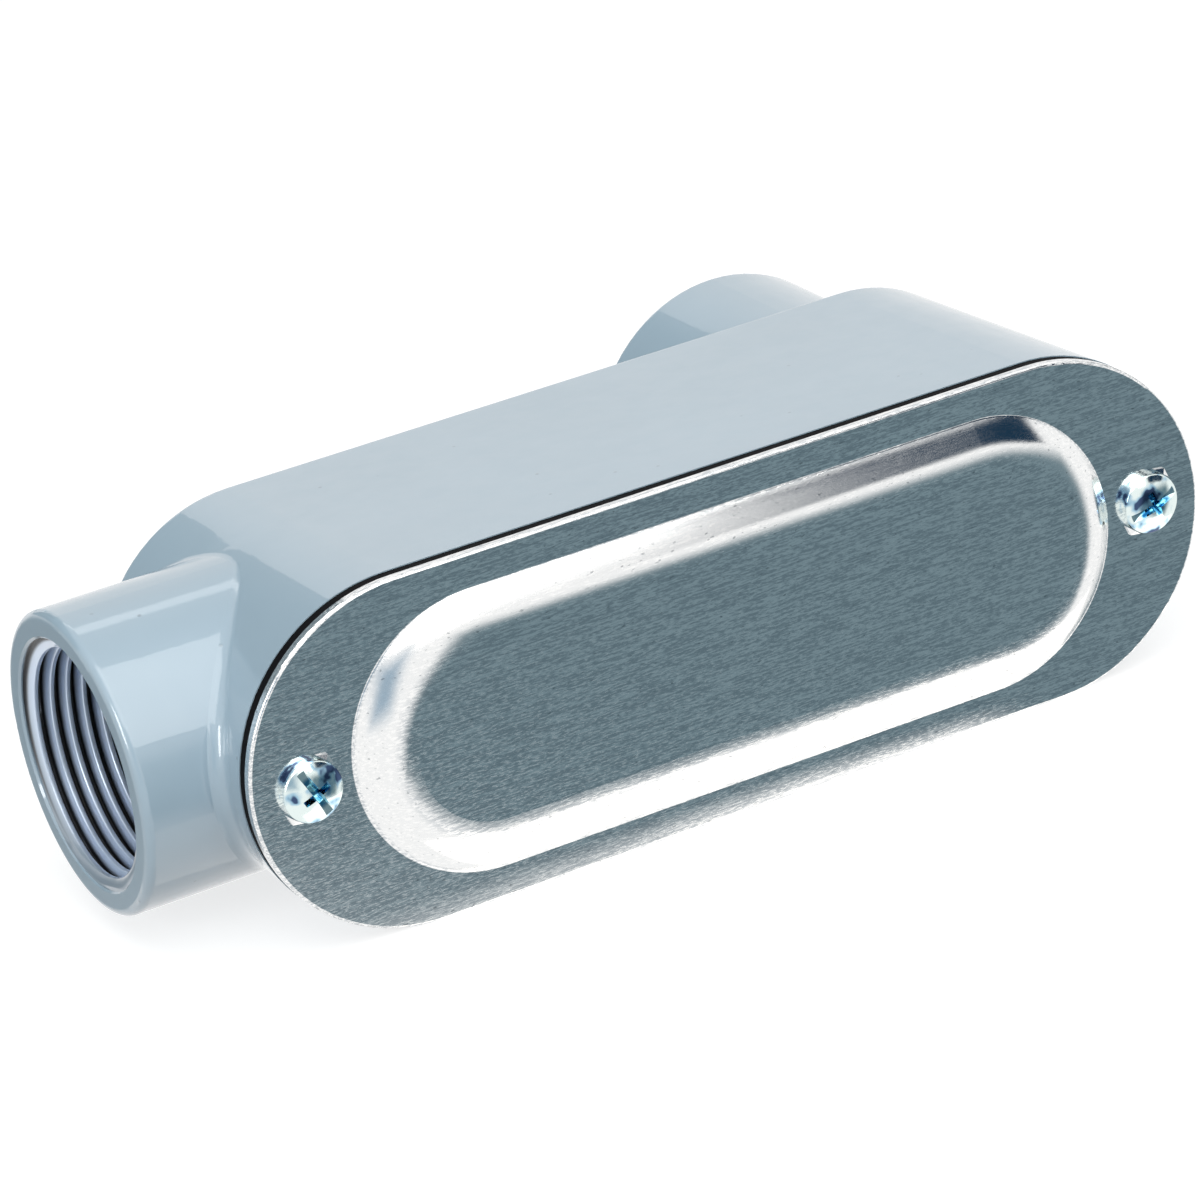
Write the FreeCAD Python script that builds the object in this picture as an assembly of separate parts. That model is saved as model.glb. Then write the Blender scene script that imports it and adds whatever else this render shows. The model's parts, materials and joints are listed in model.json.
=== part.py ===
import FreeCAD, Part
import math
import os

# One-inch conduit body with an end hub and a back hub, its stamped cover, gasket and two screws.
# Millimetres. The origin is the centre of the end hub's mouth. +X runs along the body towards
# its closed end, the cover faces -Y, the back hub faces +Y and +Z is up.

# Bores for the taper pipe thread, and the integral bushing behind each
thread_radius = 16.6
mouth_flare = 0.3            # how much wider the mouth is than the thread, and how deep its bevel
end_thread_length = 16.0
back_thread_length = 18.0
throat_step = 3.5            # how far the throat stands in from the thread
end_throat_length = 3.0
throat_edge_radius = 1.0

# Hubs
end_hub_wall = 3.5           # round the thread
end_hub_reach = 11.1         # mouth beyond the end of the seat outline
back_hub_wall = 4.2
back_hub_reach = 19.4        # mouth beyond the back face
back_hub_setback = 32.1      # axis from the closed end of the seat outline
hub_rim_radius = 1.2

# Casting
seat_length = 139.4          # outline that the rim, the gasket and the cover share
side_margin = 2.5            # side of the seat outline beyond the back hub
front_margin = 4.8           # rim face to the side of the end hub
back_margin = 1.1            # side of the end hub to the back face
wall = 3.2
draft_angle = 2.6            # degrees, the sides close in towards the back
back_edge_radius = 1.6
cavity_corner_radius = 2.0
hub_joint_radius = 2.0       # fillet where the end hub leaves the rounded end

# Gasket
gasket_thickness = 1.6
gasket_inset = 0.15          # gasket edge inside the seat outline

# Cover
sheet_thickness = 1.3
cover_edge_radius = 0.4
panel_end_margin = 13.9      # edge of the cover to the foot of the raised panel, at the ends
panel_side_margin = 4.25     # the same along the sides
panel_height = 3.0
shoulder_radius = 10.9
crease_radius = 0.5

# Cover screws
screw_setback = 7.9          # axis from the end of the seat outline
screw_thread_radius = 2.05
screw_length = 9.5
tip_chamfer = 0.5
head_radius = 4.05
head_wall_height = 1.3
head_height = 2.5
head_edge_radius = 0.35
slot_width = 1.1
slot_depth = 0.9
cross_length = 4.4
cross_width = 0.95
cross_tip_length = 1.5
cross_tip_width = 0.5
cross_depth = 1.8
left_slot_angle = -64.0      # degrees from +X towards +Z
right_slot_angle = 19.0

# Screw seats
thread_clearance = 0.04
cover_hole_clearance = 0.35
gasket_hole_clearance = 0.5
hole_spare_depth = 1.2       # tapped hole below the screw's tip
boss_floor = 3.0             # boss below the tapped hole
boss_radius = 5.2

# Ears lanced up beside each screw hole
ear_angle = 52.0             # degrees from +X towards +Z
ear_head_gap = 0.1
ear_reach = 0.75
ear_width = 2.6
ear_height = 0.8
ear_tip_height = 0.3

# Making
overrun = 1.0                # how far a cutting tool runs past the face it opens
tolerance = 1e-4             # two lengths closer than this are the same

# Places worked out from the sizes above
throat_radius = thread_radius - throat_step
end_hub_radius = thread_radius + end_hub_wall
back_hub_radius = thread_radius + back_hub_wall
seat_radius = back_hub_radius + side_margin
half_straight = seat_length / 2 - seat_radius
middle_x = end_hub_reach + seat_length / 2
rim_y = -end_hub_radius - front_margin
back_y = end_hub_radius + back_margin
floor_y = back_y - wall
cover_back_y = rim_y - gasket_thickness
cover_front_y = cover_back_y - sheet_thickness
back_hub_x = middle_x + seat_length / 2 - back_hub_setback
back_hub_mouth_y = back_y + back_hub_reach
back_hub_length = back_hub_mouth_y - floor_y
screw_offset = seat_length / 2 - screw_setback
boss_inner_x = end_thread_length + end_throat_length
screw_reach = screw_length - sheet_thickness - gasket_thickness
tapped_depth = screw_reach + hole_spare_depth
panel_radius = seat_radius - panel_side_margin
panel_straight = seat_length / 2 - panel_end_margin - panel_radius

along_x = FreeCAD.Vector(1, 0, 0)
along_y = FreeCAD.Vector(0, 1, 0)
origin = FreeCAD.Vector(0, 0, 0)
back_hub_mouth = FreeCAD.Vector(back_hub_x, back_hub_mouth_y, 0)


def section_point(y, z):
    return FreeCAD.Vector(0, y, z)


def rounded_outline(corners):
    """Closed wire in the YZ plane through (y, z, corner radius) points, arcs tangent to both sides."""
    count = len(corners)
    starts = []
    ends = []
    arcs = []
    for index in range(count):
        corner = section_point(corners[index][0], corners[index][1])
        before = section_point(corners[index - 1][0], corners[index - 1][1]) - corner
        after_corner = corners[(index + 1) % count]
        after = section_point(after_corner[0], after_corner[1]) - corner
        before.normalize()
        after.normalize()
        radius = corners[index][2]
        if radius == 0:
            starts.append(corner)
            ends.append(corner)
            continue
        half_angle = before.getAngle(after) / 2
        bisector = before + after
        bisector.normalize()
        centre = corner + bisector * (radius / math.sin(half_angle))
        tangent_length = radius / math.tan(half_angle)
        start = corner + before * tangent_length
        end = corner + after * tangent_length
        starts.append(start)
        ends.append(end)
        arcs.append(Part.Arc(start, centre - bisector * radius, end).toShape())
    lines = []
    for index in range(count):
        following = starts[(index + 1) % count]
        if ends[index].distanceToPoint(following) > tolerance:
            lines.append(Part.makeLine(ends[index], following))
    return Part.Wire(Part.__sortEdges__(arcs + lines))


def round_ended(half_section, straight):
    """Solid with a stadium plan: the half section (z >= 0) runs straight along X and turns round
    each end about an axis parallel to Y."""
    face = Part.Face(half_section)
    left_centre = FreeCAD.Vector(middle_x - straight, 0, 0)
    right_centre = FreeCAD.Vector(middle_x + straight, 0, 0)
    upper = face.translated(left_centre)
    lower = face.rotated(origin, along_y, 180).translated(left_centre)
    run = along_x * (2 * straight)
    left_end = lower.revolve(left_centre, along_y, 180)
    right_end = face.translated(right_centre).revolve(right_centre, along_y, 180)
    return upper.extrude(run).fuse([lower.extrude(run), left_end, right_end]).removeSplitter()


def turned(profile, centre, axis):
    """Solid of revolution. The profile lists (distance along the axis, radius, corner radius)."""
    face = Part.Face(rounded_outline(profile))
    solid = face.revolve(origin, along_y, 360)
    solid.Placement = FreeCAD.Placement(centre, FreeCAD.Rotation(along_y, axis))
    return solid


def drafted_radius(y, radius_at_rim):
    return radius_at_rim - (y - rim_y) * math.tan(math.radians(draft_angle))


def body_shell_form():
    """Outside of the round-ended box, drafted, with its back edge rounded."""
    return round_ended(rounded_outline([
        (rim_y, 0, 0),
        (rim_y, seat_radius, 0),
        (back_y, drafted_radius(back_y, seat_radius), back_edge_radius),
        (back_y, 0, 0),
    ]), half_straight)


def end_hub_form(length):
    return turned([
        (0, 0, 0),
        (0, end_hub_radius, hub_rim_radius),
        (length, end_hub_radius, 0),
        (length, 0, 0),
    ], origin, along_x)


def back_hub_form():
    return turned([
        (0, 0, 0),
        (0, back_hub_radius, hub_rim_radius),
        (back_hub_length, back_hub_radius, 0),
        (back_hub_length, 0, 0),
    ], back_hub_mouth, -along_y)


def screw_axes():
    """Foot of each screw axis on the rim plane, left then right."""
    return [FreeCAD.Vector(middle_x + side * screw_offset, rim_y, 0) for side in (-1, 1)]


def wiring_space():
    """Hollow of the casting: a drafted round-ended pocket around the end boss and screw bosses."""
    inner_radius = seat_radius - wall
    pocket = round_ended(rounded_outline([
        (rim_y - overrun, 0, 0),
        (rim_y - overrun, drafted_radius(rim_y - overrun, inner_radius), 0),
        (floor_y, drafted_radius(floor_y, inner_radius), cavity_corner_radius),
        (floor_y, 0, 0),
    ]), half_straight)
    bosses = [end_hub_form(boss_inner_x)]
    for foot in screw_axes():
        start = foot - along_y * (2 * overrun)
        boss_length = 2 * overrun + tapped_depth + boss_floor
        bosses.append(Part.makeCylinder(boss_radius, boss_length, start, along_y))
    return pocket.cut(bosses)


def hub_bore(mouth, inward, thread_length, full_length):
    """Cutting tool for one hub: bevelled mouth, thread bore, then the throat with its round lip."""
    throat = turned([
        (thread_length - overrun, 0, 0),
        (thread_length - overrun, throat_radius, 0),
        (full_length, throat_radius, throat_edge_radius),
        (full_length, throat_radius + throat_edge_radius, 0),
        (full_length + overrun, throat_radius + throat_edge_radius, 0),
        (full_length + overrun, 0, 0),
    ], mouth, inward)
    thread = turned([
        (-overrun, 0, 0),
        (-overrun, thread_radius + mouth_flare + overrun, 0),
        (mouth_flare, thread_radius, 0),
        (thread_length, thread_radius, 0),
        (thread_length, 0, 0),
    ], mouth, inward)
    return thread.fuse(throat)


def edges_on_circle(shape, centre, axis, radius):
    """Circular edges of that radius round that centre, in the plane square to the axis."""
    found = []
    for edge in shape.Edges:
        if edge.Degenerated:
            continue
        curve = edge.Curve
        if not isinstance(curve, Part.Circle) or abs(curve.Radius - radius) > tolerance:
            continue
        square = abs(curve.Axis.dot(axis)) > 1 - tolerance
        if square and curve.Center.distanceToPoint(centre) < tolerance:
            found.append(edge)
    return found


def hub_joint_edges(shape):
    """Edges of the curve where the end hub's cylinder meets the rounded end of the box."""
    found = []
    for edge in shape.Edges:
        points = [vertex.Point for vertex in edge.Vertexes]
        points.append(edge.valueAt((edge.FirstParameter + edge.LastParameter) / 2))
        on_hub = all(abs(math.hypot(p.y, p.z) - end_hub_radius) < tolerance * 10 for p in points)
        if on_hub and min(p.x for p in points) > hub_rim_radius + tolerance:
            found.append(edge)
    return found


def conduit_body():
    """The casting: box, both hubs, wiring space, bores and tapped holes, in one solid."""
    end_hub_outside = end_hub_form(middle_x - half_straight)
    outside = body_shell_form().fuse(end_hub_outside).removeSplitter()
    outside = outside.makeFillet(hub_joint_radius, hub_joint_edges(outside))
    casting = outside.fuse(back_hub_form()).cut(wiring_space())
    end_bore = hub_bore(origin, along_x, end_thread_length, boss_inner_x)
    back_bore = hub_bore(back_hub_mouth, -along_y, back_thread_length, back_hub_length)
    casting = casting.cut([end_bore, back_bore])
    hole_radius = screw_thread_radius + thread_clearance
    for foot in screw_axes():
        casting = casting.cut(Part.makeCylinder(hole_radius, tapped_depth, foot, along_y))
    return casting.removeSplitter()


def cover_gasket():
    """Flat ring the shape of the seat, open where the cover's panel is dished, with screw holes."""
    outer = seat_radius - gasket_inset
    ring = round_ended(rounded_outline([
        (cover_back_y, 0, 0),
        (cover_back_y, outer, 0),
        (rim_y, outer, 0),
        (rim_y, 0, 0),
    ]), half_straight)
    window = round_ended(rounded_outline([
        (cover_back_y - overrun, 0, 0),
        (cover_back_y - overrun, panel_radius, 0),
        (rim_y + overrun, panel_radius, 0),
        (rim_y + overrun, 0, 0),
    ]), panel_straight)
    ring = ring.cut(window)
    hole_radius = screw_thread_radius + gasket_hole_clearance
    for foot in screw_axes():
        ring = ring.cut(Part.makeCylinder(hole_radius, gasket_thickness, foot, -along_y))
    return ring


def panel_section():
    """Half section of the raised panel as bent sheet: a crease, a broad shoulder, then the flat."""
    crease_y = cover_front_y - crease_radius
    top_y = cover_front_y - panel_height
    shoulder_y = top_y + shoulder_radius
    centre_distance = shoulder_radius + crease_radius
    rise = shoulder_y - crease_y
    run = math.sqrt(centre_distance ** 2 - rise ** 2)
    flat_radius = panel_radius - run
    crease = section_point(crease_y, panel_radius)
    shoulder = section_point(shoulder_y, flat_radius)
    towards_shoulder = (shoulder - crease).normalize()
    half_bend = math.atan2(run, rise) / 2
    outwards = section_point(math.cos(half_bend), -math.sin(half_bend))

    def bent_line(offset):
        """Arcs of the crease and shoulder on a face of the sheet, offset towards its back."""
        crease_bend = crease_radius + offset
        shoulder_bend = shoulder_radius - offset
        meet = crease + towards_shoulder * crease_bend
        foot = crease + along_y * crease_bend
        top = shoulder - along_y * shoulder_bend
        return foot, top, [
            Part.Arc(foot, crease + outwards * crease_bend, meet).toShape(),
            Part.Arc(meet, shoulder - outwards * shoulder_bend, top).toShape(),
        ]

    front_foot, front_top, front_arcs = bent_line(0)
    back_foot, back_top, back_arcs = bent_line(sheet_thickness)
    front_middle = section_point(front_top.y, 0)
    back_middle = section_point(back_top.y, 0)
    straights = [
        Part.makeLine(front_foot, back_foot),
        Part.makeLine(front_top, front_middle),
        Part.makeLine(front_middle, back_middle),
        Part.makeLine(back_middle, back_top),
    ]
    return Part.Wire(Part.__sortEdges__(front_arcs + back_arcs + straights))


def lanced_ear(foot, angle):
    """Small pointed wedge of the cover's own metal beside a screw head."""
    base_distance = head_radius + ear_head_gap
    tip_distance = base_distance + ear_reach
    buried_y = cover_front_y + sheet_thickness / 2
    half_width = ear_width / 2

    def corner(distance, side, height):
        return FreeCAD.Vector(distance, cover_front_y - height, side)

    left_low = FreeCAD.Vector(base_distance, buried_y, -half_width)
    right_low = FreeCAD.Vector(base_distance, buried_y, half_width)
    tip_low = FreeCAD.Vector(tip_distance, buried_y, 0)
    left_top = corner(base_distance, -half_width, ear_tip_height)
    right_top = corner(base_distance, half_width, ear_tip_height)
    middle_top = corner(base_distance, 0, ear_height)
    tip_top = corner(tip_distance, 0, ear_tip_height)
    faces = [
        [left_low, tip_low, right_low],
        [left_low, left_top, tip_top, tip_low],
        [right_low, tip_low, tip_top, right_top],
        [left_low, right_low, right_top, middle_top, left_top],
        [left_top, middle_top, tip_top],
        [right_top, tip_top, middle_top],
    ]
    shell = Part.Shell([Part.Face(Part.makePolygon(ring + [ring[0]])) for ring in faces])
    ear = Part.Solid(shell)
    if ear.Volume < 0:
        ear.reverse()
    ear.rotate(origin, along_y, -angle)
    return ear.translated(FreeCAD.Vector(foot.x, 0, foot.z))


def cover():
    """Stamped sheet: flat flange with rolled-over front edge, raised panel, screw holes and ears."""
    flange = round_ended(rounded_outline([
        (cover_front_y, 0, 0),
        (cover_front_y, seat_radius, cover_edge_radius),
        (cover_back_y, seat_radius, 0),
        (cover_back_y, 0, 0),
    ]), half_straight)
    opening = round_ended(rounded_outline([
        (cover_front_y - overrun, 0, 0),
        (cover_front_y - overrun, panel_radius, 0),
        (cover_back_y + overrun, panel_radius, 0),
        (cover_back_y + overrun, 0, 0),
    ]), panel_straight)
    panel = round_ended(panel_section(), panel_straight)
    sheet = flange.cut(opening).fuse(panel).removeSplitter()
    hole_radius = screw_thread_radius + cover_hole_clearance
    for foot in screw_axes():
        ears = [lanced_ear(foot, ear_angle), lanced_ear(foot, ear_angle + 180)]
        sheet = sheet.fuse(ears)
        start = FreeCAD.Vector(foot.x, cover_front_y - overrun, 0)
        hole_length = sheet_thickness + 2 * overrun
        sheet = sheet.cut(Part.makeCylinder(hole_radius, hole_length, start, along_y))
    return sheet


def bar_outline(depth, length, width):
    """Rectangle at that depth below the head's crown."""
    corners = [
        FreeCAD.Vector(-length / 2, depth, -width / 2),
        FreeCAD.Vector(length / 2, depth, -width / 2),
        FreeCAD.Vector(length / 2, depth, width / 2),
        FreeCAD.Vector(-length / 2, depth, width / 2),
    ]
    return Part.makePolygon(corners + [corners[0]])


def recess_arm(angle):
    """One bar of the cross recess, narrowing from the crown to the bottom of the recess."""
    top = bar_outline(0, cross_length, cross_width)
    bottom = bar_outline(cross_depth, cross_tip_length, cross_tip_width)
    arm = Part.makeLoft([top, bottom], True, True)
    arm.rotate(origin, along_y, -angle)
    return arm


def cover_screw(foot, slot_angle):
    """Pan head screw with a slot and cross recess, its shank a plain cylinder as wide as its thread."""
    dome_rise = head_height - head_wall_height
    dome_radius = (head_radius ** 2 + dome_rise ** 2) / (2 * dome_rise)
    halfway = head_radius / 2
    halfway_drop = dome_radius - math.sqrt(dome_radius ** 2 - halfway ** 2)
    crown = section_point(0, 0)
    wall_top = section_point(dome_rise, head_radius)
    tip_y = head_height + screw_length
    corners = [
        wall_top,
        section_point(head_height, head_radius),
        section_point(head_height, screw_thread_radius),
        section_point(tip_y - tip_chamfer, screw_thread_radius),
        section_point(tip_y, screw_thread_radius - tip_chamfer),
        section_point(tip_y, 0),
        crown,
    ]
    outline = [Part.Arc(crown, section_point(halfway_drop, halfway), wall_top).toShape()]
    for start, end in zip(corners[:-1], corners[1:]):
        outline.append(Part.makeLine(start, end))
    screw = Part.Face(Part.Wire(outline)).revolve(origin, along_y, 360)
    rim = edges_on_circle(screw, along_y * dome_rise, along_y, head_radius)
    screw = screw.makeFillet(head_edge_radius, rim)
    slot = Part.makeBox(4 * head_radius, slot_depth + overrun, slot_width)
    slot.translate(FreeCAD.Vector(-2 * head_radius, -overrun, -slot_width / 2))
    slot.rotate(origin, along_y, -slot_angle)
    screw = screw.cut([slot, recess_arm(slot_angle), recess_arm(slot_angle + 90)])
    return screw.translated(FreeCAD.Vector(foot.x, cover_front_y - head_height, foot.z))


def single_solid(shape):
    return shape.Solids[0] if len(shape.Solids) == 1 else shape


def main():
    left_foot, right_foot = screw_axes()
    nodes = {
        "conduit_body": conduit_body(),
        "cover_gasket": cover_gasket(),
        "cover": cover(),
        "cover_screw_left": cover_screw(left_foot, left_slot_angle),
        "cover_screw_right": cover_screw(right_foot, right_slot_angle),
    }
    os.makedirs("parts", exist_ok=True)
    for name, shape in nodes.items():
        single_solid(shape).exportStep("parts/" + name + ".step")


main()
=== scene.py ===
import bpy
import json
import math
from mathutils import Euler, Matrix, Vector


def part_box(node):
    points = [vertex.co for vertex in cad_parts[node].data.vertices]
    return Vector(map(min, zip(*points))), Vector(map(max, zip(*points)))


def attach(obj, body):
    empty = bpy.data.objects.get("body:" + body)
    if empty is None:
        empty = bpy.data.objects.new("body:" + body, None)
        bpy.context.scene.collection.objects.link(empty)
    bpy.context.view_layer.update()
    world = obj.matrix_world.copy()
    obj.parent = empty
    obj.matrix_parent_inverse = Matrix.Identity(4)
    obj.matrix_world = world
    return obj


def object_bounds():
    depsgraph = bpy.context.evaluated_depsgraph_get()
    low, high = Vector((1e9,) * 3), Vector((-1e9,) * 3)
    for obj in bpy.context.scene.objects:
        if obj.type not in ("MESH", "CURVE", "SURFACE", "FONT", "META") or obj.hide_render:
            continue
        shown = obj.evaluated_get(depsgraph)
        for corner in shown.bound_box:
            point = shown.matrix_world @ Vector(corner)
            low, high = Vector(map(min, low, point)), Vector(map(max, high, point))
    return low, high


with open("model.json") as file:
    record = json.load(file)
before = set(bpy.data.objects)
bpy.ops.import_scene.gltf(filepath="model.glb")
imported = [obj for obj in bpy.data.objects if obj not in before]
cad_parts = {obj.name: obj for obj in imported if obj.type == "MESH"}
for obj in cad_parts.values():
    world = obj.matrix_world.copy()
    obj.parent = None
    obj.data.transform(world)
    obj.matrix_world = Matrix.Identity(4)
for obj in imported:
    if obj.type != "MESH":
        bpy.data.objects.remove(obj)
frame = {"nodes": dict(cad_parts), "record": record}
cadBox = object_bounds()
nodes = frame["nodes"]
mounts = {mount["name"]: mount for mount in frame["record"]["mounts"]}
coverLow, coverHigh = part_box("cover")
floorLevel = cadBox[0][2]
print("scene: CAD box", [[round(v, 4) for v in corner] for corner in cadBox])


# small helpers

def deselectAll():
    if bpy.context.mode != "OBJECT":
        bpy.ops.object.mode_set(mode="OBJECT")
    bpy.ops.object.select_all(action="DESELECT")


def makeActive(piece):
    deselectAll()
    piece.select_set(True)
    bpy.context.view_layer.objects.active = piece


def selectVertices(piece, test):
    # leaves the piece in edit mode with just the vertices that pass the test selected
    makeActive(piece)
    bpy.ops.object.mode_set(mode="EDIT")
    bpy.ops.mesh.select_mode(type="VERT")
    bpy.ops.mesh.select_all(action="DESELECT")
    bpy.ops.object.mode_set(mode="OBJECT")
    for vertex in piece.data.vertices:
        vertex.select = test(vertex.co)
    bpy.ops.object.mode_set(mode="EDIT")


def applyPlace(piece):
    makeActive(piece)
    bpy.ops.object.transform_apply(location=True, rotation=True, scale=True)


def applyModifier(piece, kind, **values):
    makeActive(piece)
    modifier = piece.modifiers.new(kind.lower(), kind)
    for name, value in values.items():
        setattr(modifier, name, value)
    bpy.ops.object.modifier_apply(modifier=modifier.name)


def newMaterial(name):
    material = bpy.data.materials.new(name)
    material.use_nodes = True
    tree = material.node_tree
    tree.nodes.clear()
    output = tree.nodes.new("ShaderNodeOutputMaterial")
    shader = tree.nodes.new("ShaderNodeBsdfPrincipled")
    tree.links.new(shader.outputs["BSDF"], output.inputs["Surface"])
    return material, tree, shader


def addNode(tree, kind, settings=None, **values):
    node = tree.nodes.new(kind)
    for name, value in (settings or {}).items():
        setattr(node, name, value)
    for name, value in values.items():
        node.inputs[name].default_value = value
    return node


def objectPlace(tree, scale=(1, 1, 1), location=(0, 0, 0)):
    # object coordinates through a mapping, so a pattern can be stretched along one axis
    place = tree.nodes.new("ShaderNodeTexCoord")
    mapping = addNode(tree, "ShaderNodeMapping", Scale=scale, Location=location)
    tree.links.new(place.outputs["Object"], mapping.inputs["Vector"])
    return mapping.outputs["Vector"]


def objectParts(tree):
    # the three object coordinates, each by itself
    place = tree.nodes.new("ShaderNodeTexCoord")
    parts = tree.nodes.new("ShaderNodeSeparateXYZ")
    tree.links.new(place.outputs["Object"], parts.inputs["Vector"])
    return [parts.outputs[axis] for axis in "XYZ"]


def noise(tree, place, scale, detail=2.0, roughness=0.5):
    node = addNode(tree, "ShaderNodeTexNoise", Scale=scale, Detail=detail, Roughness=roughness)
    tree.links.new(place, node.inputs["Vector"])
    return node.outputs["Fac"]


def remap(tree, value, fromLow, fromHigh, toLow, toHigh, smooth=False):
    node = tree.nodes.new("ShaderNodeMapRange")
    node.interpolation_type = "SMOOTHSTEP" if smooth else "LINEAR"
    tree.links.new(value, node.inputs["Value"])
    for name, number in zip(("From Min", "From Max", "To Min", "To Max"), (fromLow, fromHigh, toLow, toHigh)):
        node.inputs[name].default_value = number
    return node.outputs["Result"]


def calculate(tree, operation, first, second=None):
    node = addNode(tree, "ShaderNodeMath", {"operation": operation})
    for index, value in enumerate((first, second)):
        if value is None:
            continue
        if isinstance(value, (int, float)):
            node.inputs[index].default_value = value
        else:
            tree.links.new(value, node.inputs[index])
    return node.outputs[0]


def distance(tree, first, second):
    squares = calculate(tree, "ADD", calculate(tree, "MULTIPLY", first, first),
                        calculate(tree, "MULTIPLY", second, second))
    return calculate(tree, "SQRT", squares)


def mixColour(tree, factor, first, second):
    node = addNode(tree, "ShaderNodeMix", {"data_type": "RGBA"})
    if isinstance(factor, (int, float)):
        node.inputs["Factor"].default_value = factor
    else:
        tree.links.new(factor, node.inputs["Factor"])
    for socket, value in ((node.inputs[6], first), (node.inputs[7], second)):
        if isinstance(value, tuple):
            socket.default_value = value + (1,)
        else:
            tree.links.new(value, socket)
    return node.outputs[2]


def bump(tree, height, strength, depth, under=None):
    node = addNode(tree, "ShaderNodeBump", Strength=strength, Distance=depth)
    tree.links.new(height, node.inputs["Height"])
    if under is not None:
        tree.links.new(under, node.inputs["Normal"])
    return node.outputs["Normal"]


def seenDirectly(tree):
    # 1 for camera, glossy and transmission rays, 0 for the light that falls on things
    path = tree.nodes.new("ShaderNodeLightPath")
    seen = calculate(tree, "MAXIMUM", path.outputs["Is Camera Ray"], path.outputs["Is Glossy Ray"])
    return calculate(tree, "MAXIMUM", seen, path.outputs["Is Transmission Ray"])


# the camera

cameraView = {
    "place": (-0.2261, -0.6160, 0.2881),
    "lookAt": (0.06171, -0.0278, 0.01165),
    "roll": -7.83,          # degrees, the picture leans a little
    "lens": 171.3,
    "sensor": 36,
}


def addCamera():
    data = bpy.data.cameras.new("viewCamera")
    data.lens = cameraView["lens"]
    data.sensor_width = cameraView["sensor"]
    data.clip_start = 0.01
    camera = bpy.data.objects.new("viewCamera", data)
    bpy.context.scene.collection.objects.link(camera)
    place = Vector(cameraView["place"])
    aim = (Vector(cameraView["lookAt"]) - place).to_track_quat("-Z", "Y")
    roll = Euler((0, 0, math.radians(cameraView["roll"]))).to_quaternion()
    camera.location = place
    camera.rotation_mode = "QUATERNION"
    camera.rotation_quaternion = aim @ roll
    bpy.context.scene.camera = camera


addCamera()
print("scene: camera")


# the studio: floor, cards, lamps and world

studio = {
    "floorSize": 12.0,
    "floorColour": (0.40, 0.40, 0.40),
    "floorLift": 0.74,          # glow that keeps the floor white to the eye
    "ambient": (0.90, 0.97, 1.0),
    "ambientStrength": 0.50,
}

lamps = {
    # name: place, aimed at, width, height, power, colour, seen in reflections
    "keyBox": ((0.00, -0.44, 0.68), (0.07, 0, 0), 0.90, 1.00, 5.4, (1.0, 0.98, 0.96), True),
    "leftBox": ((-0.75, -0.25, 0.30), (0.02, 0, 0), 0.25, 0.34, 2.0, (1.0, 1.0, 1.0), True),
    "fillBox": ((0.00, -0.80, 0.05), (0.04, 0, 0), 0.50, 0.50, 1.4, (1.0, 1.0, 1.0), False),
}

cards = {
    # name: centre, aimed at, roll in degrees, width, height, depth of the faded edge, colour
    "frontCard": ((0.352, -0.423, -0.115), (0.08, -0.03, 0), -10, 0.73, 0.57, 0.15, (0.167, 0.239, 0.275)),
    "blueCard": ((0.648, -0.478, 0.392), (0.08, -0.03, 0.014), -27, 0.62, 0.48, 0.09, (0.008, 0.032, 0.066)),
    "lowCard": ((0.28, -0.155, -0.44), (0.08, -0.03, 0), 0, 0.60, 0.40, 0, (1.52, 1.47, 1.43)),
    "backCard": ((-0.36, 0.80, 0.36), (0.05, 0, 0), 0, 0.98, 0.80, 0, (0.26, 0.32, 0.35)),
    "stripCard": ((0.258, 0.305, 0.470), (0.015, -0.007, 0.018), 0, 0.70, 0.10, 0.03, (2.4, 2.4, 2.4)),
    "viewCard": ((-0.205, -0.475, 0.125), (0.02, -0.03, 0.01), 0, 0.36, 0.44, 0.16, (0.34, 0.45, 0.55)),
    "rimCard": ((-0.25, 0.525, -0.18), (0, 0, 0), 0, 0.42, 0.42, 0.15, (0.22, 0.27, 0.30)),
}


def paleFloor():
    deselectAll()
    bpy.ops.mesh.primitive_plane_add(size=studio["floorSize"], location=(0, 0, floorLevel))
    floor = bpy.context.object
    floor.name = "studioFloor"
    material, tree, shader = newMaterial("paleFloor")
    shader.inputs["Base Color"].default_value = studio["floorColour"] + (1,)
    shader.inputs["Roughness"].default_value = 0.9
    shader.inputs["Specular IOR Level"].default_value = 0.0
    shader.inputs["Emission Color"].default_value = (1, 1, 1, 1)
    glow = calculate(tree, "MULTIPLY", seenDirectly(tree), studio["floorLift"])
    tree.links.new(glow, shader.inputs["Emission Strength"])
    floor.data.materials.append(material)
    floor.visible_glossy = False    # the metal mirrors the white room below it, as on a glass table


def aimedAt(place, aim):
    return (Vector(aim) - Vector(place)).to_track_quat("-Z", "Y")


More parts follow.
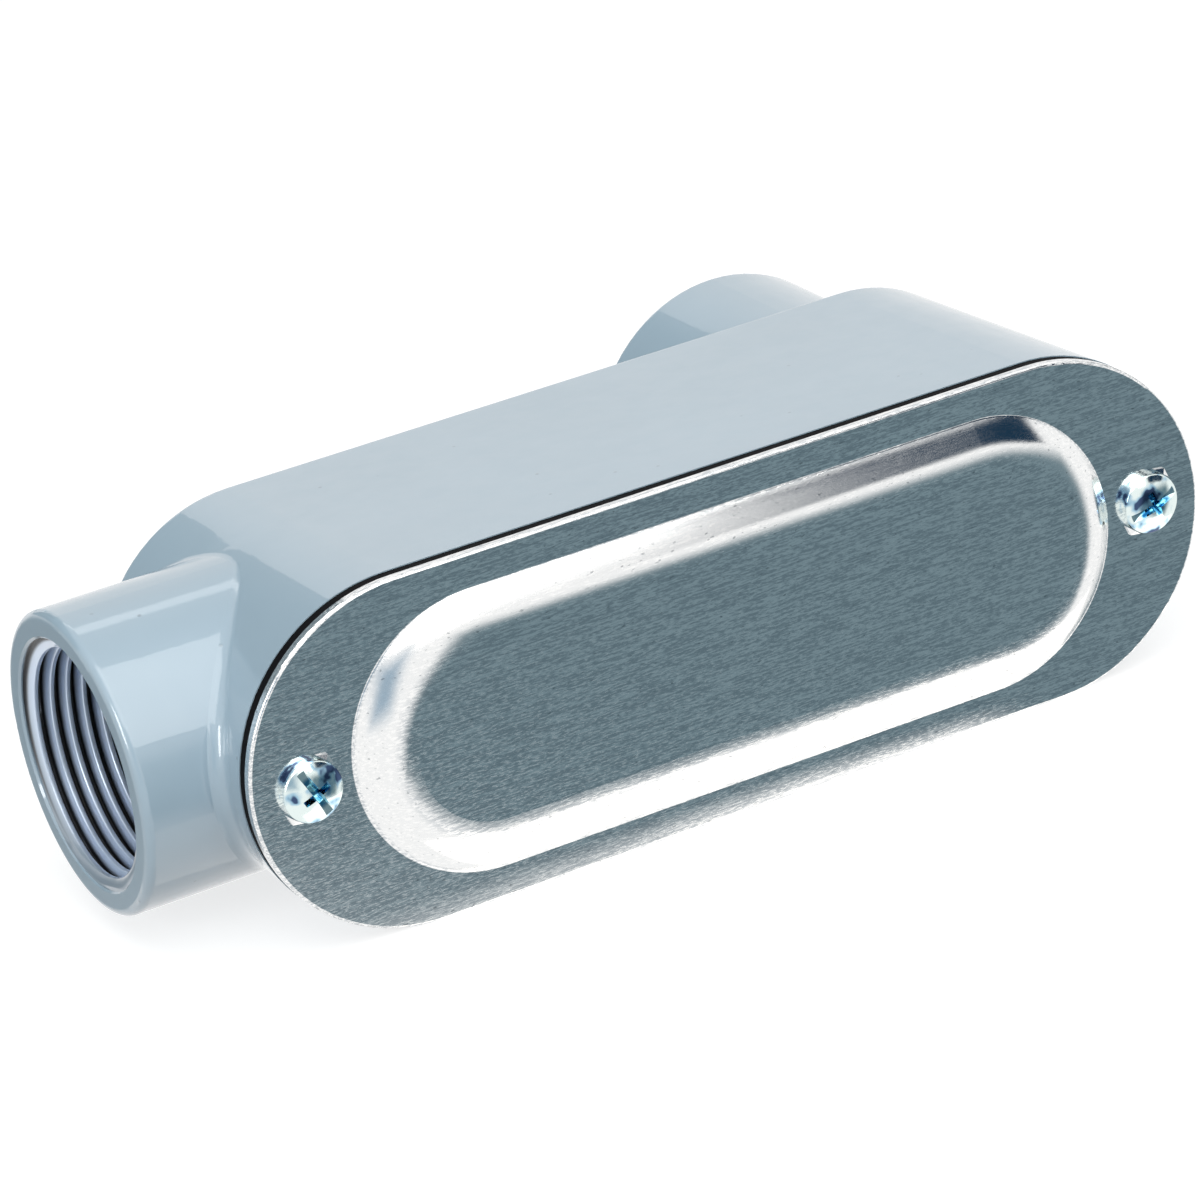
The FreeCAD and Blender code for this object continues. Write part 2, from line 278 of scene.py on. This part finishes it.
def addCards():
    for name, (centre, aim, roll, width, height, soft, colour) in cards.items():
        deselectAll()
        turned = aimedAt(centre, aim) @ Euler((0, 0, math.radians(roll))).to_quaternion()
        bpy.ops.mesh.primitive_plane_add(size=1, location=centre, rotation=turned.to_euler())
        card = bpy.context.object
        card.name = name
        card.scale = (width, height, 1)
        card.visible_camera = False
        card.visible_diffuse = False
        material, tree, shader = newMaterial(name)
        shader.inputs["Base Color"].default_value = (0, 0, 0, 1)
        shader.inputs["Specular IOR Level"].default_value = 0.0
        shader.inputs["Roughness"].default_value = 1.0
        shader.inputs["Emission Color"].default_value = colour + (1,)
        shader.inputs["Emission Strength"].default_value = 1.0
        if soft > 0:
            # the card fades into the white room around it; its object coordinates run from -0.5 to 0.5
            gaps = []
            for part, size in zip(objectParts(tree), (width, height)):
                fromMiddle = calculate(tree, "MULTIPLY", calculate(tree, "ABSOLUTE", part), size)
                gaps.append(calculate(tree, "SUBTRACT", size / 2, fromMiddle))
            fade = remap(tree, calculate(tree, "MINIMUM", *gaps), 0.0, soft, 1.0, 0.0, True)
            tree.links.new(mixColour(tree, fade, colour, (1.0, 1.0, 1.0)), shader.inputs["Emission Color"])
        card.data.materials.append(material)


def addLamps():
    for name, (place, aim, width, height, power, colour, reflected) in lamps.items():
        data = bpy.data.lights.new(name, "AREA")
        data.shape = "RECTANGLE"
        data.size = width
        data.size_y = height
        data.energy = power
        data.color = colour
        lamp = bpy.data.objects.new(name, data)
        bpy.context.scene.collection.objects.link(lamp)
        lamp.location = place
        lamp.rotation_mode = "QUATERNION"
        lamp.rotation_quaternion = aimedAt(place, aim)
        lamp.visible_camera = False
        lamp.visible_glossy = reflected


def addWorld():
    world = bpy.data.worlds.new("studioWorld")
    bpy.context.scene.world = world
    world.use_nodes = True
    tree = world.node_tree
    tree.nodes.clear()
    output = tree.nodes.new("ShaderNodeOutputWorld")
    ambient = addNode(tree, "ShaderNodeBackground", Color=studio["ambient"] + (1,),
                      Strength=studio["ambientStrength"])
    white = addNode(tree, "ShaderNodeBackground", Color=(1, 1, 1, 1), Strength=1.0)
    mix = tree.nodes.new("ShaderNodeMixShader")
    tree.links.new(seenDirectly(tree), mix.inputs["Fac"])
    tree.links.new(ambient.outputs["Background"], mix.inputs[1])
    tree.links.new(white.outputs["Background"], mix.inputs[2])
    tree.links.new(mix.outputs["Shader"], output.inputs["Surface"])


paleFloor()
addCards()
addLamps()
addWorld()
bpy.context.scene.view_settings.view_transform = "Standard"
print("scene: studio")


# where the two threads lie

threadForm = {
    "pitch": 0.002209,
    "root": 0.01675,            # just inside the wall of the bore
    "crest": 0.01500,
    "baseWidth": 0.00200,
    "crestWidth": 0.00055,
    "softEdge": 0.00010,
    "taper": 0.030,             # share of the radius lost along the thread
    "steps": 96,
    "leadIn": -0.0006,          # the ridge starts just outside the mouth
    "faceOff": 0.00022,         # and is cut off square this far in
    "firstFade": 0.020,         # how far round each end the ridge rises out of the wall
    "lastFade": 0.012,
    "sink": 0.98,               # share of the ridge's height that its ends go into the wall
}

hubs = {
    # name: mouth, turn in degrees that takes +X to the way in, length of thread
    "end_hub_thread": ((0, 0, 0), (90, 0, 0), 0.0160),
    "back_hub_thread": ((mounts["back_hub"]["pos_m"][0], cadBox[1][1], 0), (90, 0, -90), 0.0180),
}


# the paint

paint = {
    "colour": (0.314, 0.418, 0.496),
    "shade": (0.298, 0.400, 0.476),
    "cloudScale": 45.0,                      # how finely the colour and shade mingle
    "threadColourWithPaintedLight": (0.74, 0.85, 1.00),      # painted light: lightened well past the body's paint, so the threads in the dim bore look lit
    "threadShadeWithPaintedLight": (0.66, 0.77, 0.94),
    "threadMetal": 0.5,
    "mouthColour": (0.30, 0.37, 0.44),       # the face of the first turn keeps about the body's paint colour, without the thread's painted light
    "paintedGrooveShade": (0.012, 0.013, 0.016),
    "grooveRoughness": 0.3,                  # added to the rest
    "grooveStart": (0.0004, 0.0006),         # depths between which the painted shade in the grooves comes in
    "grooveEnd": (0.0006, 0.0010),           # and how far past the thread they go out again
    "mouthDepth": (0.0005, 0.0014),
    "mouthRadius": (0.0175, 0.0180),
    "dustColour": (0.12, 0.14, 0.16),
    "dustStrength": 0.45,
    "dustScale": 420.0,
    "roughness": 0.32,
    "roughScale": 260.0,
    "coatRoughness": 0.035,
    "coatIor": 1.6,
    "peelScale": 520.0,
    "waveStretch": (90, 260, 260),
    "peelBump": (0.13, 0.00010),             # strength and depth
    "waveBump": (0.10, 0.00020),
    "dustBump": (0.35, 0.00008),
}


def hubDepthAndRadius(tree, mouth, turn):
    # distance in from a hub's mouth, and out from its axis
    x, y, z = [calculate(tree, "SUBTRACT", part, start) for part, start in zip(objectParts(tree), mouth)]
    if turn[2] == 0:
        return x, distance(tree, y, z)
    return calculate(tree, "MULTIPLY", y, -1.0), distance(tree, x, z)


def grooveShadeMask(tree):
    # 1 deep in the thread grooves of either hub, where shade is painted near black, 0 elsewhere
    masks = []
    root = threadForm["root"]
    endFrom, endTo = paint["grooveEnd"]
    for mouth, turn, length in hubs.values():
        depth, radius = hubDepthAndRadius(tree, mouth, turn)
        deep = remap(tree, radius, root - 0.0010, root - 0.0005, 0.0, 1.0, True)
        inside = remap(tree, radius, root + 0.00015, root + 0.00020, 1.0, 0.0)
        start = remap(tree, depth, *paint["grooveStart"], 0.0, 1.0)
        end = remap(tree, depth, length + endFrom, length + endTo, 1.0, 0.0)
        masks.append(calculate(tree, "MULTIPLY", calculate(tree, "MULTIPLY", deep, inside),
                               calculate(tree, "MULTIPLY", start, end)))
    return calculate(tree, "MAXIMUM", *masks)


def mouthMask(tree):
    # 1 on the outer face of the first turn, 0 further in
    masks = []
    for mouth, turn, length in hubs.values():
        depth, radius = hubDepthAndRadius(tree, mouth, turn)
        near = remap(tree, depth, *paint["mouthDepth"], 1.0, 0.0, True)
        within = remap(tree, radius, *paint["mouthRadius"], 1.0, 0.0)
        masks.append(calculate(tree, "MULTIPLY", near, within))
    return calculate(tree, "MAXIMUM", *masks)


def powderPaint(name, first, second, metal=0.0):
    material, tree, shader = newMaterial(name)
    shader.inputs["Metallic"].default_value = metal
    place = objectPlace(tree)
    cloud = noise(tree, place, paint["cloudScale"], 3.0)
    colour = mixColour(tree, remap(tree, cloud, 0.35, 0.65, 0.0, 1.0), first, second)
    # dark specks of dust under the coat, a few to the square centimetre
    dust = addNode(tree, "ShaderNodeTexVoronoi", {"feature": "F1"}, Scale=paint["dustScale"])
    tree.links.new(place, dust.inputs["Vector"])
    rare = addNode(tree, "ShaderNodeSeparateColor")
    tree.links.new(dust.outputs["Color"], rare.inputs["Color"])
    speck = calculate(tree, "MULTIPLY", remap(tree, dust.outputs["Distance"], 0.06, 0.14, 1.0, 0.0),
                      remap(tree, rare.outputs["Red"], 0.95, 0.97, 0.0, 1.0))
    dark = calculate(tree, "MULTIPLY", speck, paint["dustStrength"])
    colour = mixColour(tree, dark, colour, paint["dustColour"])
    # on the threads, the painted light is taken off again at the outer face of the first turn
    if metal > 0:
        colour = mixColour(tree, mouthMask(tree), colour, paint["mouthColour"])
    # painted shade: near black deep in the thread grooves
    grooveShade = grooveShadeMask(tree)
    colour = mixColour(tree, grooveShade, colour, paint["paintedGrooveShade"])
    tree.links.new(colour, shader.inputs["Base Color"])
    patches = noise(tree, place, paint["roughScale"], 2.0)
    rough = remap(tree, patches, 0.3, 0.7, paint["roughness"] - 0.04, paint["roughness"] + 0.05)
    rough = calculate(tree, "ADD", rough, calculate(tree, "MULTIPLY", grooveShade, paint["grooveRoughness"]))
    tree.links.new(rough, shader.inputs["Roughness"])
    shader.inputs["Coat Weight"].default_value = 1.0
    shader.inputs["Coat Roughness"].default_value = paint["coatRoughness"]
    shader.inputs["Coat IOR"].default_value = paint["coatIor"]
    # orange peel of the sprayed coat, and the dust standing in it
    peel = noise(tree, place, paint["peelScale"], 1.5, 0.4)
    wave = noise(tree, objectPlace(tree, paint["waveStretch"]), 1.0, 1.0, 0.4)
    skin = bump(tree, peel, *paint["peelBump"])
    skin = bump(tree, wave, *paint["waveBump"], skin)
    skin = bump(tree, speck, *paint["dustBump"], skin)
    tree.links.new(skin, shader.inputs["Normal"])
    tree.links.new(skin, shader.inputs["Coat Normal"])
    return material


# the cover sheet

sheet = {
    "colour": (0.98, 0.98, 0.97),
    "shade": (0.60, 0.63, 0.65),
    "pit": (0.20, 0.23, 0.25),
    "roughness": 0.11,
    "anisotropic": 0.40,
    "lineStretch": (280, 3400, 3400),
    "strokeStretch": (1000, 5000, 5000),
    "patchStretch": (25, 60, 60),
    "pitStretch": (1100, 2600, 2600),
    "scratchBump": (0.12, 0.00003),
    "thickness": 0.0013,
    "paintedHighlightShare": 0.75,                    # share of the grain that the painted highlight evens out to the light tone on the shoulder
    "footHeight": (0.0001, 0.0004),     # where the shoulder starts and ends, up from the flange
    "topHeight": (0.0025, 0.0029),
    "rollWidth": 0.0038,                # how far in from the lower edge the flange rolls over
    "rollDrop": 0.00034,
    "rollGrows": (0.035, 0.085),        # along the cover
    "rollEnds": (0.110, 0.128),
    "rollLeast": 0.3,
}


def shoulderHighlightMask(tree):
    # how far the grain is evened out to the light tone on the drawn shoulder, a painted highlight, and 0 on
    # the flat faces
    flangeFace = coverHigh[1] - sheet["thickness"]
    height = calculate(tree, "SUBTRACT", flangeFace, objectParts(tree)[1])
    foot = remap(tree, height, *sheet["footHeight"], 0.0, sheet["paintedHighlightShare"], True)
    return calculate(tree, "MULTIPLY", foot, remap(tree, height, *sheet["topHeight"], 1.0, 0.0, True))


def rolloverHeight(tree):
    # the shears left the lower edge a little rolled over, most of all towards the closed end
    x, y, z = objectParts(tree)
    across = remap(tree, z, coverLow[2] + sheet["rollWidth"], coverLow[2], 0.0, 1.0)
    along = calculate(tree, "MULTIPLY", remap(tree, x, *sheet["rollGrows"], sheet["rollLeast"], 1.0),
                      remap(tree, x, *sheet["rollEnds"], 1.0, 0.0, True))
    drop = calculate(tree, "MULTIPLY", calculate(tree, "MULTIPLY", across, across), along)
    return calculate(tree, "SUBTRACT", 1.0, drop)


def rolledAluminium():
    material, tree, shader = newMaterial("rolledAluminium")
    # rolling lines run along the cover, broken into short strokes, with a few dark pits between them
    lines = noise(tree, objectPlace(tree, sheet["lineStretch"]), 1.0, 2.0, 0.6)
    strokes = noise(tree, objectPlace(tree, sheet["strokeStretch"]), 1.0, 3.0, 0.7)
    patches = noise(tree, objectPlace(tree, sheet["patchStretch"]), 1.0, 2.0)
    pits = noise(tree, objectPlace(tree, sheet["pitStretch"], (3, 1, 2)), 1.0, 2.0, 0.5)
    grain = calculate(tree, "ADD", calculate(tree, "MULTIPLY", lines, 0.4),
                      calculate(tree, "MULTIPLY", strokes, 0.6))
    shoulderHighlight = shoulderHighlightMask(tree)
    # painted highlight: the shoulder takes the light tone, as bright reflections wash its grain out
    bright = calculate(tree, "MAXIMUM", remap(tree, grain, 0.45, 0.55, 0.0, 1.0), shoulderHighlight)
    colour = mixColour(tree, bright, sheet["shade"], sheet["colour"])
    colour = mixColour(tree, remap(tree, pits, 0.66, 0.74, 0.0, 0.6), colour, sheet["pit"])
    tree.links.new(colour, shader.inputs["Base Color"])
    rough = remap(tree, grain, 0.35, 0.65, sheet["roughness"] + 0.03, sheet["roughness"] - 0.03)
    rough = calculate(tree, "ADD", rough, remap(tree, patches, 0.3, 0.7, -0.02, 0.02))
    tree.links.new(rough, shader.inputs["Roughness"])
    shader.inputs["Metallic"].default_value = 1.0
    shader.inputs["Anisotropic"].default_value = sheet["anisotropic"]
    shader.inputs["Anisotropic Rotation"].default_value = 0.0
    along = tree.nodes.new("ShaderNodeCombineXYZ")
    along.inputs["X"].default_value = 1.0
    tree.links.new(along.outputs["Vector"], shader.inputs["Tangent"])
    scratches = remap(tree, strokes, 0.54, 0.66, 0.0, 1.0)
    scratches = calculate(tree, "MULTIPLY", scratches, calculate(tree, "SUBTRACT", 1.0, shoulderHighlight))
    skin = bump(tree, scratches, *sheet["scratchBump"])
    skin = bump(tree, rolloverHeight(tree), 1.0, sheet["rollDrop"], skin)
    tree.links.new(skin, shader.inputs["Normal"])
    return material


# the gasket

gasket = {
    "colour": (0.0025, 0.0025, 0.003),
    "dust": (0.006, 0.006, 0.007),
    "dustScale": 1800.0,
    "dustBump": (0.25, 0.00005),
    "roughness": 0.62,
    "shine": 0.05,
}


def blackRubber():
    material, tree, shader = newMaterial("blackRubber")
    fine = noise(tree, objectPlace(tree), gasket["dustScale"], 3.0)
    colour = mixColour(tree, fine, gasket["colour"], gasket["dust"])
    tree.links.new(colour, shader.inputs["Base Color"])
    rough = remap(tree, fine, 0.3, 0.7, gasket["roughness"] - 0.08, gasket["roughness"] + 0.1)
    tree.links.new(rough, shader.inputs["Roughness"])
    tree.links.new(bump(tree, fine, *gasket["dustBump"]), shader.inputs["Normal"])
    shader.inputs["Specular IOR Level"].default_value = gasket["shine"]
    return material


# the screws

zinc = {
    "colour": (0.82, 0.92, 0.90),
    "tint": (0.30, 0.52, 0.68),
    "dark": (0.020, 0.035, 0.120),      # the blue where the passivated film is thickest
    "filmScale": 380.0,
    "recess": (0.06, 0.25, 0.42),
    "recessLight": (0.46, 0.82, 0.86),
    "recessScale": 1100.0,
    "recessRadius": (0.0019, 0.0028),   # the blue fades out between these two
    "recessDepth": (0.000415, 0.000615),    # and comes in between these, down from the head's top
    "roughness": 0.10,
    "fineScale": 1500.0,
    "fineBump": (0.30, 0.00003),
}


def recessShadeMask(tree):
    # 1 inside the slot and cross of either head, where dark blue shade is painted, and 0 outside
    x, y, z = objectParts(tree)
    screwBoxes = [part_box(name) for name in ("cover_screw_left", "cover_screw_right")]
    leftAxis, rightAxis = [(low[0] + high[0]) / 2 for low, high in screwBoxes]
    crown = screwBoxes[0][0][1]
    fromMiddle = calculate(tree, "ABSOLUTE", calculate(tree, "SUBTRACT", x, (leftAxis + rightAxis) / 2))
    across = calculate(tree, "SUBTRACT", fromMiddle, (rightAxis - leftAxis) / 2)
    near = remap(tree, distance(tree, across, z), *zinc["recessRadius"], 1.0, 0.0, True)
    below = remap(tree, calculate(tree, "SUBTRACT", y, crown), *zinc["recessDepth"], 0.0, 1.0)
    return calculate(tree, "MULTIPLY", near, below)


def brightZinc():
    material, tree, shader = newMaterial("brightZinc")
    place = objectPlace(tree)
    film = noise(tree, place, zinc["filmScale"], 2.0)
    colour = mixColour(tree, remap(tree, film, 0.46, 0.58, 0.0, 0.9, True), zinc["colour"], zinc["tint"])
    colour = mixColour(tree, remap(tree, film, 0.56, 0.62, 0.0, 0.9, True), colour, zinc["dark"])
    # painted shade: the slot and cross of each head turn dark blue, with lighter patches
    light = remap(tree, noise(tree, place, zinc["recessScale"], 2.0), 0.45, 0.60, 0.0, 1.0)
    recessShading = mixColour(tree, light, zinc["recess"], zinc["recessLight"])
    colour = mixColour(tree, recessShadeMask(tree), colour, recessShading)
    tree.links.new(colour, shader.inputs["Base Color"])
    fine = noise(tree, place, zinc["fineScale"], 3.0)
    rough = remap(tree, fine, 0.3, 0.7, zinc["roughness"] - 0.04, zinc["roughness"] + 0.08)
    tree.links.new(rough, shader.inputs["Roughness"])
    shader.inputs["Metallic"].default_value = 1.0
    tree.links.new(bump(tree, fine, *zinc["fineBump"]), shader.inputs["Normal"])
    return material


# the threads' colours carry painted light, lightened for the bore that the lamps barely reach
threadMaterial = powderPaint("threadPaintWithPaintedLight", paint["threadColourWithPaintedLight"], paint["threadShadeWithPaintedLight"],
                             paint["threadMetal"])
screwMaterial = brightZinc()
finishes = {
    "conduit_body": powderPaint("greyPowderPaint", paint["colour"], paint["shade"]),
    "cover": rolledAluminium(),
    "cover_gasket": blackRubber(),
    "cover_screw_left": screwMaterial,
    "cover_screw_right": screwMaterial,
}
for nodeName, material in finishes.items():
    for slot in nodes[nodeName].material_slots:
        slot.material = material
print("scene: finishes on", len(finishes), "nodes")


# the threads, one ridge wound into each bore

def windThread(name, mouth, turn, length):
    form = threadForm
    turns = int((length - form["leadIn"] - form["baseWidth"]) / form["pitch"])
    height = form["root"] - form["crest"]
    middle = (form["root"] + form["crest"]) / 2
    firstEnd = form["leadIn"] + form["baseWidth"] / 2
    lastEnd = firstEnd + turns * form["pitch"]
    deselectAll()
    bpy.ops.mesh.primitive_plane_add(size=1, location=(firstEnd, 0, middle),
                                     rotation=(math.radians(90), 0, 0))
    thread = bpy.context.object
    thread.name = name
    thread.scale = (form["baseWidth"], height, 1)
    applyPlace(thread)
    # narrow the crest, the edge nearest the axis
    selectVertices(thread, lambda co: co.z < middle)
    bpy.ops.transform.resize(value=(form["crestWidth"] / form["baseWidth"], 1, 1),
                             center_override=(firstEnd, 0, form["crest"]))
    bpy.ops.mesh.select_all(action="SELECT")
    bpy.ops.mesh.delete(type="ONLY_FACE")
    bpy.ops.object.mode_set(mode="OBJECT")
    applyModifier(thread, "SCREW", axis="X", angle=math.radians(360), screw_offset=form["pitch"],
                  iterations=turns, steps=form["steps"], render_steps=form["steps"], use_merge_vertices=False)
    # close the two ends, sink both into the wall, and face the first turn off at the mouth
    bpy.ops.object.mode_set(mode="EDIT")
    bpy.ops.mesh.select_all(action="SELECT")
    bpy.ops.mesh.fill_holes(sides=4)
    bpy.ops.mesh.normals_make_consistent(inside=False)
    for end, reach in ((firstEnd, form["firstFade"]), (lastEnd, form["lastFade"])):
        selectVertices(thread, lambda co: (abs(co.y) < 1e-5 and co.z > 0
                                           and abs(co.x - end) < form["pitch"] * 0.49))
        bpy.ops.transform.translate(value=(0, 0, height * form["sink"]), use_proportional_edit=True,
                                    use_proportional_connected=True, proportional_size=reach,
                                    proportional_edit_falloff="SMOOTH")
    bpy.ops.mesh.select_all(action="SELECT")
    bpy.ops.mesh.bisect(plane_co=(form["faceOff"], 0, 0), plane_no=(1, 0, 0), use_fill=True,
                        clear_inner=True)
    bpy.ops.object.mode_set(mode="OBJECT")
    applyModifier(thread, "BEVEL", width=form["softEdge"], segments=2, limit_method="ANGLE",
                  angle_limit=math.radians(35))
    applyModifier(thread, "SIMPLE_DEFORM", deform_method="TAPER", deform_axis="X", factor=-form["taper"])
    thread.rotation_euler = [math.radians(a) for a in turn]
    thread.location = mouth
    applyPlace(thread)
    bpy.ops.object.shade_smooth_by_angle(angle=math.radians(30))
    thread.data.materials.append(threadMaterial)
    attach(thread, "root")
    return thread


for threadName, (mouth, turn, length) in hubs.items():
    made = windThread(threadName, mouth, turn, length)
    print("scene:", threadName, len(made.data.polygons), "faces")
